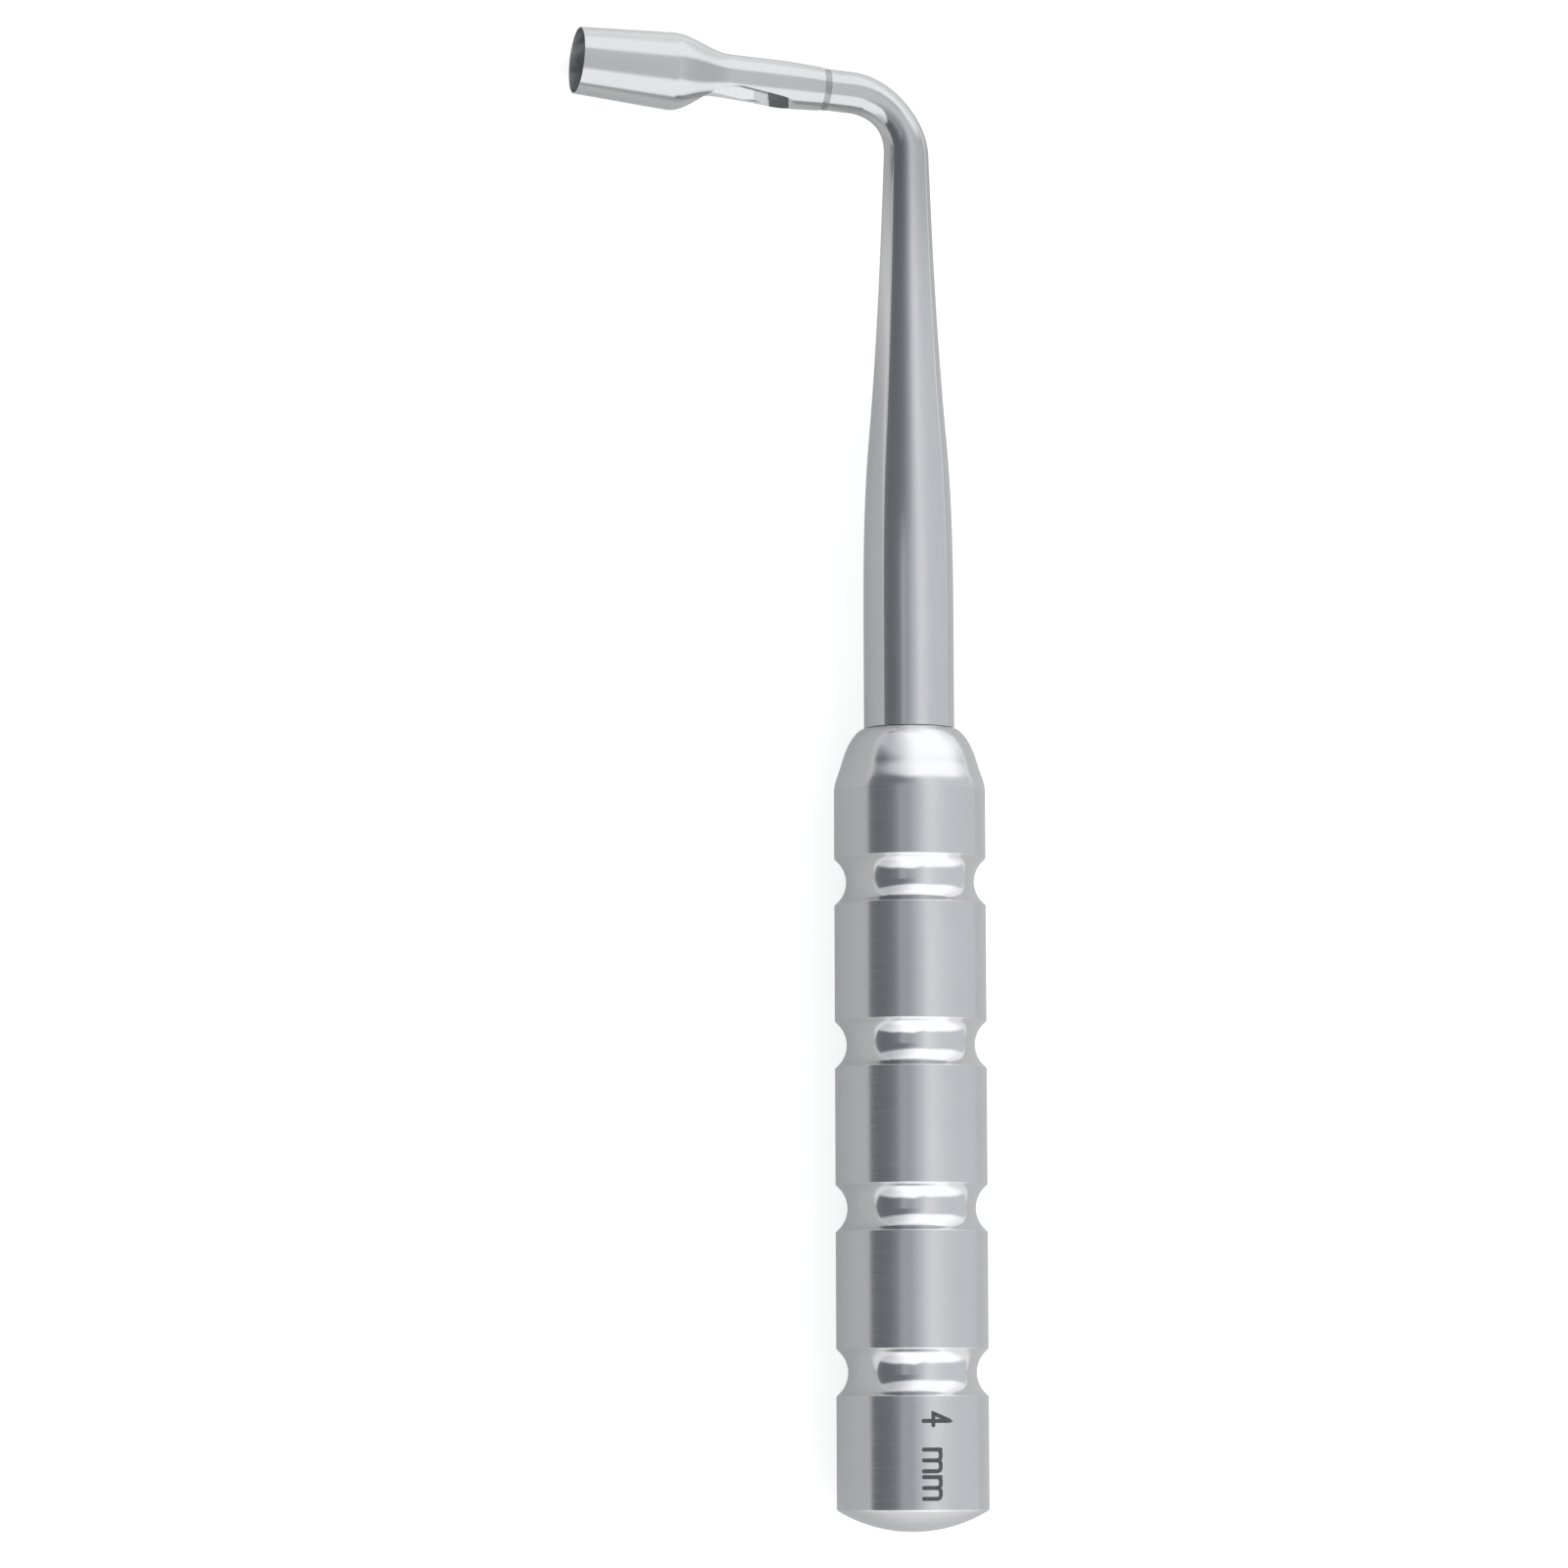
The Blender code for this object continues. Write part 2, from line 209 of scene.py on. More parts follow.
def bezier(ends, angles, pulls, steps):
    """Points after the first end of the curve that leaves and meets its ends falling at the given angles."""
    first, last = Vector(ends[0]), Vector(ends[1])
    near = first + pulls[0] * Vector((math.cos(angles[0]), -math.sin(angles[0])))
    far = last - pulls[1] * Vector((math.cos(angles[1]), -math.sin(angles[1])))
    points = []
    for step in range(1, steps + 1):
        t = step / steps
        u = 1 - t
        points.append(tuple(u ** 3 * first + 3 * u * u * t * near + 3 * u * t * t * far + t ** 3 * last))
    return points


def eased(start, end, start_slope, end_slope, steps):
    """Points after start on the smooth curve with the given slopes at its two ends."""
    length = end[0] - start[0]
    points = []
    for step in range(1, steps + 1):
        t = step / steps
        radius = (2 * t ** 3 - 3 * t ** 2 + 1) * start[1] + (3 * t ** 2 - 2 * t ** 3) * end[1]
        radius += length * ((t ** 3 - 2 * t ** 2 + t) * start_slope + (t ** 3 - t ** 2) * end_slope)
        points.append((start[0] + t * length, radius))
    return points


def softened(points, radius=EDGE_ROUNDING, sharp=math.radians(10), steps=4):
    """Rounds each corner of a profile that turns by more than sharp, and holds the flats beside it straight."""
    made = [points[0]]
    for before, corner, after in zip(points, points[1:], points[2:]):
        corner = Vector(corner)
        back, ahead = Vector(before) - corner, Vector(after) - corner
        turn = math.pi - back.angle(ahead)
        if turn < sharp:
            made.append(tuple(corner))
            continue
        cut = min(radius * math.tan(turn / 2), MOST_OF_FLAT * back.length, MOST_OF_FLAT * ahead.length)
        start = corner + cut * back.normalized()
        end = corner + cut * ahead.normalized()
        for step in range(steps + 1):
            t = step / steps
            made.append(tuple((1 - t) ** 2 * start + 2 * t * (1 - t) * corner + t ** 2 * end))
    made.append(points[-1])
    held = [made[0]]
    inset = radius / 2
    for start, end in zip(made, made[1:]):
        way = Vector(end) - Vector(start)
        if way.length > LONG_FLAT * inset:
            held.append(tuple(Vector(start) + inset * way.normalized()))
            held.append(tuple(Vector(end) - inset * way.normalized()))
        held.append(end)
    return held


# Profiles: how far along the centre line, how large a radius

def handle_profile():
    """From the middle of the butt dome, along the outside to the nose, and down the shank's socket."""
    dome = HANDLE_RADIUS - BUTT_EDGE_CHAMFER
    sphere = (dome ** 2 + BUTT_DOME_HEIGHT ** 2) / (2 * BUTT_DOME_HEIGHT)
    points = [(-BUTT_DOME_HEIGHT, 0)]
    points += arc(points[0], (0, dome), sphere, CURVE_STEPS)
    points.append((BUTT_EDGE_CHAMFER, HANDLE_RADIUS))
    half = GROOVE_WIDTH / 2
    inner = half - GROOVE_EDGE_CHAMFER
    lip = HANDLE_RADIUS - GROOVE_EDGE_CHAMFER
    dip = GROOVE_DEPTH - GROOVE_EDGE_CHAMFER
    for index in range(GROOVE_COUNT):
        centre = FIRST_GROOVE_AT + index * GROOVE_PITCH
        points += [(centre - half, HANDLE_RADIUS), (centre - inner, lip)]
        points += hollow_arc((centre - inner, lip), (centre + inner, lip), dip, CURVE_STEPS)
        points.append((centre + half, HANDLE_RADIUS))
    ends = ((SHOULDER_AT, HANDLE_RADIUS), (NOSE_AT, NOSE_RADIUS))
    curve = bezier(ends, SHOULDER_ANGLES, SHOULDER_PULLS, CURVE_STEPS)
    curve = [point for point in curve if point[0] > SHOULDER_AT + EASE_INTO_SHOULDER]
    falling = math.atan2(curve[0][1] - curve[1][1], curve[1][0] - curve[0][0])
    points.append((SHOULDER_AT - EASE_BEFORE_SHOULDER, HANDLE_RADIUS))
    points += bezier((points[-1], curve[0]), (0, falling), (EASE_PULL, EASE_PULL), CURVE_STEPS // 2)
    points += curve[1:]
    points += [(NOSE_AT, SHANK_ROOT_RADIUS), (NOSE_AT - SEAM_DEPTH, SHANK_ROOT_RADIUS), (NOSE_AT - SEAM_DEPTH, 0)]
    return softened(points)


def shank_profile():
    """From inside the handle's nose, along the outside and round the bend, to the weld."""
    foot = NOSE_AT - SEAM_DEPTH / 2
    swell_start = SHANK_START + SHANK_ROOT_LENGTH
    points = [(foot, 0), (foot, SEAM_RADIUS), (NOSE_AT + SEAM_WIDTH, SEAM_RADIUS)]
    points += [(NOSE_AT + SEAM_WIDTH, SHANK_ROOT_RADIUS), (swell_start, SHANK_ROOT_RADIUS)]
    swell = (swell_start + SHANK_SWELL_LENGTH, SHANK_SWELL_RADIUS)
    bend = (BEND_START, SHANK_BEND_RADIUS)
    waist = (BEND_START + BEND_LENGTH / 2, SHANK_WAIST_RADIUS)
    points += eased(points[-1], swell, 0, SHANK_SWELL_SLOPE, CURVE_STEPS)
    points += eased(swell, bend, SHANK_SWELL_SLOPE, SHANK_BEND_SLOPE, 2 * CURVE_STEPS)
    points += eased(bend, waist, SHANK_BEND_SLOPE, 0, CURVE_STEPS)
    points += eased(waist, (BEND_START + BEND_LENGTH, SHANK_TIP_RADIUS), 0, 0, CURVE_STEPS)
    points += [(SHANK_END, SHANK_TIP_RADIUS), (SHANK_END, 0)]
    return softened(points)


def weld_profile():
    """A low hollow bead that fills the seam between shank and head."""
    start, end = HEAD_LENGTH - WELD_ON_HEAD, HEAD_LENGTH + JOINT_GAP + WELD_ON_SHANK
    points = [(start, 0), (start, HEAD_END_RADIUS + WELD_PROUD)]
    points += hollow_arc(points[-1], (end, SHANK_TIP_RADIUS + WELD_PROUD), WELD_HOLLOW, CURVE_STEPS // 2)
    points += [(end, 0)]
    return points


def head_profile():
    """From the weld, along the outside to the mouth, and back down the bore and the throat."""
    points = [(HEAD_LENGTH, 0), (HEAD_LENGTH, HEAD_END_RADIUS)]
    points += eased(points[-1], (NECK_TAPER_START, NECK_RADIUS), NECK_TAPER, 0, CURVE_STEPS // 2)
    points.append((NECK_START, NECK_RADIUS))
    points += eased(points[-1], (BARREL_LENGTH, BARREL_RADIUS), 0, 0, CURVE_STEPS)
    points += [(0, MOUTH_RADIUS), (0, BORE_RADIUS), (BORE_DEPTH, BORE_RADIUS)]
    points += eased(points[-1], (THROAT_START, THROAT_RADIUS), 0, 0, CURVE_STEPS)
    points += [(POCKET_END, THROAT_RADIUS), (POCKET_END, 0)]
    return softened(points, radius=HEAD_EDGE_ROUNDING)


def bore_radius_at(along):
    """How wide the bore and throat are at a distance behind the mouth."""
    t = min(max((along - BORE_DEPTH) / (THROAT_START - BORE_DEPTH), 0), 1)
    return BORE_RADIUS + (3 * t ** 2 - 2 * t ** 3) * (THROAT_RADIUS - BORE_RADIUS)


def window_outline():
    """Side view of what the window takes away: how far behind the mouth, how far below the centre line."""
    outside = 2 * BARREL_RADIUS
    outline = []
    for step in range(CURVE_STEPS + 1):
        angle = CUTTER_ARC * (1 - step / CURVE_STEPS)
        rise = CUTTER_RADIUS * (1 - math.cos(angle))
        outline.append((WINDOW_DEEPEST_AT - CUTTER_RADIUS * math.sin(angle), WINDOW_FLOOR_OFFSET + rise))
    slope = math.tan(WINDOW_FLOOR_TILT)
    outline.append((THROAT_DEPTH, WINDOW_FLOOR_OFFSET + (THROAT_DEPTH - WINDOW_DEEPEST_AT) * slope))
    floor_end = WINDOW_DEEPEST_AT + WINDOW_FLOOR_LENGTH
    floor_rise = WINDOW_FLOOR_LENGTH * slope
    for step in range(CURVE_STEPS + 1):
        angle = WINDOW_FLOOR_TILT + RUN_OUT_ARC * step / CURVE_STEPS
        ahead = RUN_OUT_RADIUS * (math.sin(angle) - math.sin(WINDOW_FLOOR_TILT))
        rise = RUN_OUT_RADIUS * (math.cos(WINDOW_FLOOR_TILT) - math.cos(angle))
        outline.append((floor_end + ahead, WINDOW_FLOOR_OFFSET + floor_rise + rise))
    return [(outline[0][0], outside), *outline, (outline[-1][0], outside)]


# Finishes by place

def handle_finish(along, radius):
    """The turned lands, the polished grooves, and the polished shoulder and dome."""
    if abs(radius - HANDLE_RADIUS) < LAND_MARGIN:
        return LAND
    return SHOULDER if along < FIRST_GROOVE_AT / 2 or along > SHOULDER_AT - EASE_BEFORE_SHOULDER else GROOVE


def shank_finish(along, radius):
    """The dark step in the seam at the handle's nose, and the drawn rod."""
    return SEAM if along < NOSE_AT + SEAM_WIDTH and radius < SHANK_ROOT_RADIUS else DRAWN


def head_finish(along, radius):
    """The bore with its throat, and the outside."""
    hollow = along < POCKET_END + FINISH_MARGIN and radius < bore_radius_at(along) + FINISH_MARGIN
    return BORE if hollow else OUTSIDE


# Meshes

def straight(origin, direction):
    """Centre line of a straight piece: the place and the direction at a distance along it."""
    return lambda along: (origin + along * direction, direction)


def bent(along):
    """Centre line of the shank: up the handle's axis, round the bend, and on towards the head."""
    up = Vector((0, 1, 0))
    if along <= BEND_START:
        return along * up, up
    turned = min((along - BEND_START) / BEND_RADIUS, BEND_TURN)
    direction = Vector((-math.sin(turned), math.cos(turned), 0))
    place = Vector((-BEND_RADIUS, BEND_START, 0))
    place += BEND_RADIUS * Vector((math.cos(turned), math.sin(turned), 0))
    return place + max(along - BEND_START - BEND_LENGTH, 0) * direction, direction


def turned_mesh(profile, centre_line, facets, finish=lambda along, radius: 0):
    """Skins a profile with rings round a centre line that lies in the XY plane; finish picks a material."""
    mesh = bmesh.new()
    rings = []
    for along, radius in profile:
        place, direction = centre_line(along)
        if radius == 0:
            rings.append([mesh.verts.new(place)])
            continue
        side = direction.cross(Vector((0, 0, 1)))
        ring = []
        for index in range(facets):
            angle = 2 * math.pi * index / facets
            spoke = math.sin(angle) * side - math.cos(angle) * Vector((0, 0, 1))
            ring.append(mesh.verts.new(place + radius * spoke))
        rings.append(ring)
    for number, (ring, following) in enumerate(zip(rings, rings[1:])):
        (first, first_radius), (second, second_radius) = profile[number], profile[number + 1]
        material_index = finish((first + second) / 2, (first_radius + second_radius) / 2)
        for index in range(facets):
            after = (index + 1) % facets
            if len(ring) == 1:
                face = mesh.faces.new((ring[0], following[index], following[after]))
            elif len(following) == 1:
                face = mesh.faces.new((ring[after], ring[index], following[0]))
            else:
                face = mesh.faces.new((ring[index], ring[after], following[after], following[index]))
            face.material_index = material_index
    return mesh


def shown(name, mesh, *materials):
    """Turns a mesh in the instrument's frame into an object in the row frame."""
    bmesh.ops.recalc_face_normals(mesh, faces=mesh.faces)
    mesh.transform(TO_ROW)
    data = bpy.data.meshes.new(name)
    mesh.to_mesh(data)
    mesh.free()
    for material in materials:
        data.materials.append(material)
    data.shade_smooth()
    data.set_sharp_from_angle(angle=SHARP_ANGLE)
    piece = bpy.data.objects.new(name, data)
    bpy.context.scene.collection.objects.link(piece)
    return piece


def window_cutter():
    """The long prism, askew across the head, that takes the window out."""
    back = -HEAD_DIRECTION
    turn = Matrix.Rotation(WINDOW_TURN, 3, HEAD_DIRECTION)
    below = turn @ HEAD_DIRECTION.cross(Vector((0, 0, -1)))
    across = turn @ Vector((0, 0, 1)) + math.tan(WINDOW_SKEW) * back
    outline = window_outline()
    mesh = bmesh.new()
    sides = []
    for side in (-2 * BARREL_RADIUS, 2 * BARREL_RADIUS):
        corners = [
            mesh.verts.new(MOUTH_CENTRE + along * back + depth * below + side * across)
            for along, depth in outline
        ]
        mesh.faces.new(corners)
        sides.append(corners)
    for index in range(len(outline)):
        after = (index + 1) % len(outline)
        face = mesh.faces.new((sides[0][index], sides[0][after], sides[1][after], sides[1][index]))
        if min(outline[index][0], outline[after][0]) >= WINDOW_DEEPEST_AT:
            face.material_index = POCKET
    return mesh


def ramp_mesh():
    """The sloping floor inside the throat that leads out of the window, and the wall that ends it."""
    back, up = -HEAD_DIRECTION, Vector((0, 0, 1))
    below = HEAD_DIRECTION.cross(-up)
    mesh = bmesh.new()
    rings = []
    for along, offset in RAMP_STATIONS:
        half = math.acos(offset / RAMP_RADIUS)
        ring = []
        for step in range(CURVE_STEPS + 1):
            angle = RAMP_FACING + half + (2 * math.pi - 2 * half) * step / CURVE_STEPS
            height = RAMP_RADIUS * math.sin(angle)
            place = MOUTH_CENTRE + (along + height * math.tan(POCKET_SKEW)) * back
            place += RAMP_RADIUS * math.cos(angle) * below + height * up
            ring.append(mesh.verts.new(place))
        rings.append(ring)
    for ring, following in zip(rings, rings[1:]):
        for index in range(len(ring)):
            after = (index + 1) % len(ring)
            face = mesh.faces.new((ring[index], ring[after], following[after], following[index]))
            face.material_index = RAMP
    for ring in (rings[0], rings[-1]):
        mesh.faces.new(ring).material_index = RAMP
    return mesh


def finish_window(data):
    """Splits the window's floor at the two ends of the pocket, and finishes each part of it by its place."""
    mesh = bmesh.new()
    mesh.from_mesh(data)
    from_row = TO_ROW.inverted()
    askew = HEAD_DIRECTION + math.tan(POCKET_SKEW) * Vector((0, 0, 1))
    for along in (POCKET_START, POCKET_END):
        floor_faces = [face for face in mesh.faces if face.material_index == POCKET]
        around = {item for face in floor_faces for item in (face, *face.edges, *face.verts)}
        bmesh.ops.bisect_plane(
            mesh, geom=list(around), dist=1e-9,
            plane_co=TO_ROW @ (MOUTH_CENTRE - along * HEAD_DIRECTION),
            plane_no=(TO_ROW.to_3x3() @ askew).normalized(),
        )
    # Faces between the pocket's two ends keep the near-black pocket colour: painted shade.
    for face in mesh.faces:
        if face.material_index == POCKET:
            centre = from_row @ face.calc_center_median() - MOUTH_CENTRE
            behind = -centre.dot(askew)
            if behind <= POCKET_START:
                # The lower cut face takes a lighter copy of the milled steel: painted light.
                # The upper cut face takes a darker copy of the milled steel: painted shade.
                face.material_index = RIM if centre.z < 0 else EDGE
            elif behind >= POCKET_END:
                face.material_index = OUTSIDE
    mesh.to_mesh(data)
    mesh.free()
    data.shade_smooth()
    data.set_sharp_from_angle(angle=SHARP_CUT_ANGLE)


def letter_m(start):
    """Strokes of an m: three legs under a flat top with rounded corners."""
    corner, height = LETTER_CORNER, LETTER_HEIGHT
    strokes = [((start, 0.0), (start, height))]
    for leg in (1, 2):
        end = start - leg * LEG_PITCH
        before = end + LEG_PITCH
        strokes.append((
            (before, height - corner),
            (before - CORNER_CUT, height - CORNER_CUT),
            (before - corner, height),
            (end + corner, height),
            (end + CORNER_CUT, height - CORNER_CUT),
            (end, height - corner),
            (end, 0.0),
        ))
    return strokes


def stroke_rows(points):
    """Pairs of edge points along a stroke of the mark, with round ends."""
    line = [Vector(points[0])]
    for start, end in zip(points, points[1:]):
        way = Vector(end) - Vector(start)
        count = max(1, round(way.length / MARK_STEP))
        line += [Vector(start) + way * step / count for step in range(1, count + 1)]
    half = MARK_STROKE / 2
    rows = []
    for index, point in enumerate(line):
        before = line[max(index - 1, 0)]
        after = line[min(index + 1, len(line) - 1)]
        first = (point - before).normalized() if point != before else (after - point).normalized()
        last = (after - point).normalized() if after != point else first
        middle = (first + last).normalized()
        out = Vector((-middle.y, middle.x))
        stretch = 1 / max(middle.dot(first), 1 / MITRE_LIMIT)
        rows.append((point - out * half * stretch, point + out * half * stretch))
    for end, inward in ((0, 1), (-1, -2)):
        way = (line[end] - line[inward]).normalized()
        out = Vector((-way.y, way.x))
        cap = []
        for step in range(1, MARK_CAP_STEPS + 1):
            angle = math.pi / 2 * step / (MARK_CAP_STEPS + 0.5)
            ahead = line[end] + way * half * math.sin(angle)
            wide = out * half * math.cos(angle)
            cap.append((ahead - wide, ahead + wide))
        if end == 0:
            rows = [(right, left) for left, right in reversed(cap)] + rows
        else:
            rows += cap
    return rows


def add_stroke(mesh, points):
    """Adds one stroke of the mark as a thin closed strip that lies in the handle's surface."""
    rows = stroke_rows(points)
    levels = []
    for radius in (HANDLE_RADIUS - MARK_DEPTH, HANDLE_RADIUS + MARK_PROUD):
        level = []
        for row in rows:
            pair = []
            for along, height in row:
                angle = MARK_BASE_ANGLE + ROLL + height / HANDLE_RADIUS
                pair.append(mesh.verts.new((radius * math.sin(angle), along, radius * math.cos(angle))))
            level.append(pair)
        levels.append(level)
    bottom, top = levels
    for index in range(len(rows) - 1):
        for level in levels:
            mesh.faces.new((level[index][0], level[index][1], level[index + 1][1], level[index + 1][0]))
        for side in (0, 1):
            mesh.faces.new((bottom[index][side], top[index][side], top[index + 1][side], bottom[index + 1][side]))
    for index in (0, -1):
        mesh.faces.new((bottom[index][0], bottom[index][1], top[index][1], top[index][0]))


# Materials

STREAK_DETAIL = 3.0
CLOUD_SCALE = 250.0
CLOUD_DETAIL = 4.0
TONE_RANGE = (0.6, 1.4)
STREAK_RANGE = (0.3, 0.7)
ROUGHNESS_SPREAD = 0.2
BUMP_STRENGTH = 0.3
MARK_ROUGHNESS = 0.6
MARK_GRAIN_SCALE = 9000.0
MARK_DARK = (0.05, 0.052, 0.056, 1)
MARK_LIGHT = (0.11, 0.113, 0.12, 1)


def add(tree, kind, inputs=None, **settings):
    """Adds a node; inputs are values or the sockets that feed them."""
    node = tree.nodes.new(kind)
    for name, value in settings.items():
        setattr(node, name, value)
    for name, value in (inputs or {}).items():
        if isinstance(value, bpy.types.NodeSocket):
            tree.links.new(value, node.inputs[name])
        else:
            node.inputs[name].default_value = value
    return node


def maths(tree, operation, *values):
    """One number made of others."""
    return add(tree, "ShaderNodeMath", dict(enumerate(values)), operation=operation).outputs[0]


def blend(tree, value, start, end, low=0.0, high=1.0, kind="SMOOTHSTEP"):
    """Runs from low to high as value goes from start to end."""
    return add(tree, "ShaderNodeMapRange", {
        "Value": value, "From Min": start, "From Max": end, "To Min": low, "To Max": high,
    }, interpolation_type=kind).outputs[0]


def fine_noise(tree, place, scale, detail):
    """Soft noise round a half."""
    return add(tree, "ShaderNodeTexNoise", {"Vector": place, "Scale": scale, "Detail": detail}).outputs["Fac"]


def new_material(name):
    """A material with its node tree and its shader."""
    material = bpy.data.materials.new(name)
    material.use_nodes = True
    return material, material.node_tree, material.node_tree.nodes["Principled BSDF"]


def steel(name, colour, roughness, streaks, grain, depth, stretch=0.0, painted_shade=None):
    """Metal with fine streaks and clouds.

    streaks scales the noise along each axis, grain is how far the tone strays, and depth is how deep the streaks
    are in metres. stretch draws reflections along the handle, and painted_shade paints shade into the colour by
    darkening it from one Y to another, to a share.
    """
    material, tree, shader = new_material(name)
    shader.inputs["Metallic"].default_value = 1
    if stretch:
        shader.inputs["Anisotropic"].default_value = stretch
        shader.inputs["Anisotropic Rotation"].default_value = 0.25
        round_the_axis = add(tree, "ShaderNodeTangent", direction_type="RADIAL", axis="Y").outputs[0]
        tree.links.new(round_the_axis, shader.inputs["Tangent"])
    place = add(tree, "ShaderNodeTexCoord").outputs["Object"]
    mapped = add(tree, "ShaderNodeMapping", {"Vector": place, "Scale": streaks}).outputs["Vector"]
    noise = fine_noise(tree, mapped, 1.0, STREAK_DETAIL)
    clouds = fine_noise(tree, place, CLOUD_SCALE, CLOUD_DETAIL)
    shade = blend(tree, maths(tree, "ADD", noise, clouds), *TONE_RANGE, 1 - grain, 1 + grain, "LINEAR")
    # Painted shade: the colour darkens between two heights along Y.
    if painted_shade:
        reached = add(tree, "ShaderNodeSeparateXYZ", {"Vector": place}).outputs["Y"]
        start, end, darkest = painted_shade
        shade = maths(tree, "MULTIPLY", shade, blend(tree, reached, start, end, 1.0, darkest))
    tint = add(tree, "ShaderNodeVectorMath", {0: colour, "Scale": shade}, operation="SCALE").outputs[0]
    tree.links.new(tint, shader.inputs["Base Color"])
    smoothest, roughest = roughness * (1 - ROUGHNESS_SPREAD), roughness * (1 + ROUGHNESS_SPREAD)
    rough = blend(tree, noise, *STREAK_RANGE, smoothest, roughest, "LINEAR")
    tree.links.new(rough, shader.inputs["Roughness"])
    bump = add(tree, "ShaderNodeBump", {"Height": noise, "Strength": BUMP_STRENGTH, "Distance": depth})
    tree.links.new(bump.outputs[0], shader.inputs["Normal"])
    return material


def mark_ink():
    """Dark grey burnt steel with a slightly uneven tone."""
    material, tree, shader = new_material("laser_mark")
    shader.inputs["Roughness"].default_value = MARK_ROUGHNESS
    place = add(tree, "ShaderNodeTexCoord").outputs["Object"]
    tones = add(tree, "ShaderNodeValToRGB", {"Fac": fine_noise(tree, place, MARK_GRAIN_SCALE, STREAK_DETAIL)})
    dark, light = tones.color_ramp.elements
    dark.position, light.position = STREAK_RANGE
    dark.color, light.color = MARK_DARK, MARK_LIGHT
    tree.links.new(tones.outputs["Color"], shader.inputs["Base Color"])
    return material


ALONG_HEAD = (300, 3000, 3000)
ALONG_SHANK = (3000, 300, 3000)
ROUND_HANDLE = (500, 5000, 500)
MILLED = (6000, 600, 600)
EVEN = (4000, 4000, 4000)
SHINE = (0.665, 0.668, 0.672)

HANDLE_STEELS = (
    steel("turned_steel", (0.64, 0.643, 0.647), 0.22, (300, 8000, 300), grain=0.025, depth=7e-7, stretch=0.5),
    steel("polished_grooves", SHINE, 0.12, ROUND_HANDLE, grain=0.02, depth=5e-7),
    steel("polished_ends", SHINE, 0.19, ROUND_HANDLE, grain=0.02, depth=5e-7),
)
SHANK_STEELS = (
    # The drawn rod's colour darkens near the bend: painted shade.
    steel("drawn_steel", (0.63, 0.633, 0.637), 0.1, ALONG_SHANK, grain=0.03, depth=5e-7, painted_shade=(0.028, 0.04, 0.8)),
    steel("seam_steel", (0.3, 0.304, 0.308), 0.4, EVEN, grain=0.2, depth=1e-5),
)
HEAD_STEELS = (
    steel("ground_steel", (0.515, 0.518, 0.522), 0.15, ALONG_HEAD, grain=0.02, depth=1e-6),
    steel("bored_steel", (0.6, 0.615, 0.625), 0.42, (2000, 2000, 2000), grain=0.06, depth=2e-6),
    # Painted shade: the pocket is near-black, in place of the shaded floor that it mirrors.
    steel("pocket_painted_shade", (0.125, 0.13, 0.135), 0.35, MILLED, grain=0.1, depth=2e-6),
    steel("ramp_steel", (0.53, 0.533, 0.537), 0.12, (4000, 500, 500), grain=0.05, depth=1e-6),
    # Painted light: a lighter copy of the milled steel for the window's lower cut face.
    steel("window_rim_painted_light", (0.75, 0.754, 0.76), 0.5, MILLED, grain=0.05, depth=1e-6),
    # Painted shade: a darker copy of the milled steel for the window's upper cut face.
    steel("window_edge_painted_shade", (0.34, 0.344, 0.35), 0.3, MILLED, grain=0.05, depth=1e-6),
)
WELD_STEEL = steel("weld_steel", (0.34, 0.344, 0.35), 0.3, EVEN, grain=0.15, depth=2e-5)


# The pieces

up_the_handle = straight(Vector((0, 0, 0)), Vector((0, 1, 0)))
back_from_mouth = straight(MOUTH_CENTRE, -HEAD_DIRECTION)

handle_mesh = turned_mesh(handle_profile(), up_the_handle, HANDLE_FACETS, handle_finish)
handle = shown("grip_handle", handle_mesh, *HANDLE_STEELS)
shank = shown("bent_shank", turned_mesh(shank_profile(), bent, FACETS, shank_finish), *SHANK_STEELS)
weld = shown("weld_bead", turned_mesh(weld_profile(), back_from_mouth, FACETS), WELD_STEEL)

head_mesh = turned_mesh(head_profile(), back_from_mouth, FACETS, head_finish)
head = shown("cutting_head", head_mesh, *HEAD_STEELS)
cutter = shown("window_cutter", window_cutter(), *HEAD_STEELS)
slope = shown("window_ramp", ramp_mesh(), *HEAD_STEELS)
for tool, operation in ((slope, "UNION"), (cutter, "DIFFERENCE")):
    cut = head.modifiers.new(tool.name, "BOOLEAN")
    cut.operation = operation
    cut.solver = "EXACT"
    cut.object = tool
bpy.context.view_layer.update()
head.data = bpy.data.meshes.new_from_object(head.evaluated_get(bpy.context.evaluated_depsgraph_get()))
head.modifiers.clear()
for tool in (slope, cutter):
    bpy.data.objects.remove(tool)
finish_window(head.data)

mark_mesh = bmesh.new()
for stroke in (FOUR, *(stroke for start in LETTERS_AT for stroke in letter_m(start))):
    add_stroke(mark_mesh, stroke)
mark = shown("size_mark", mark_mesh, mark_ink())

for piece, node, slot in (
    (handle, "handle", "satin_steel"),
    (shank, "shank", "polished_steel"),
    (head, "punch_head", "polished_steel"),
):
    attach(piece, "root")
    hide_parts(node)
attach(weld, "root")
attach(mark, "root")


# The floor: white paper, which glows a little where the camera or metal sees it. Places are in metres.

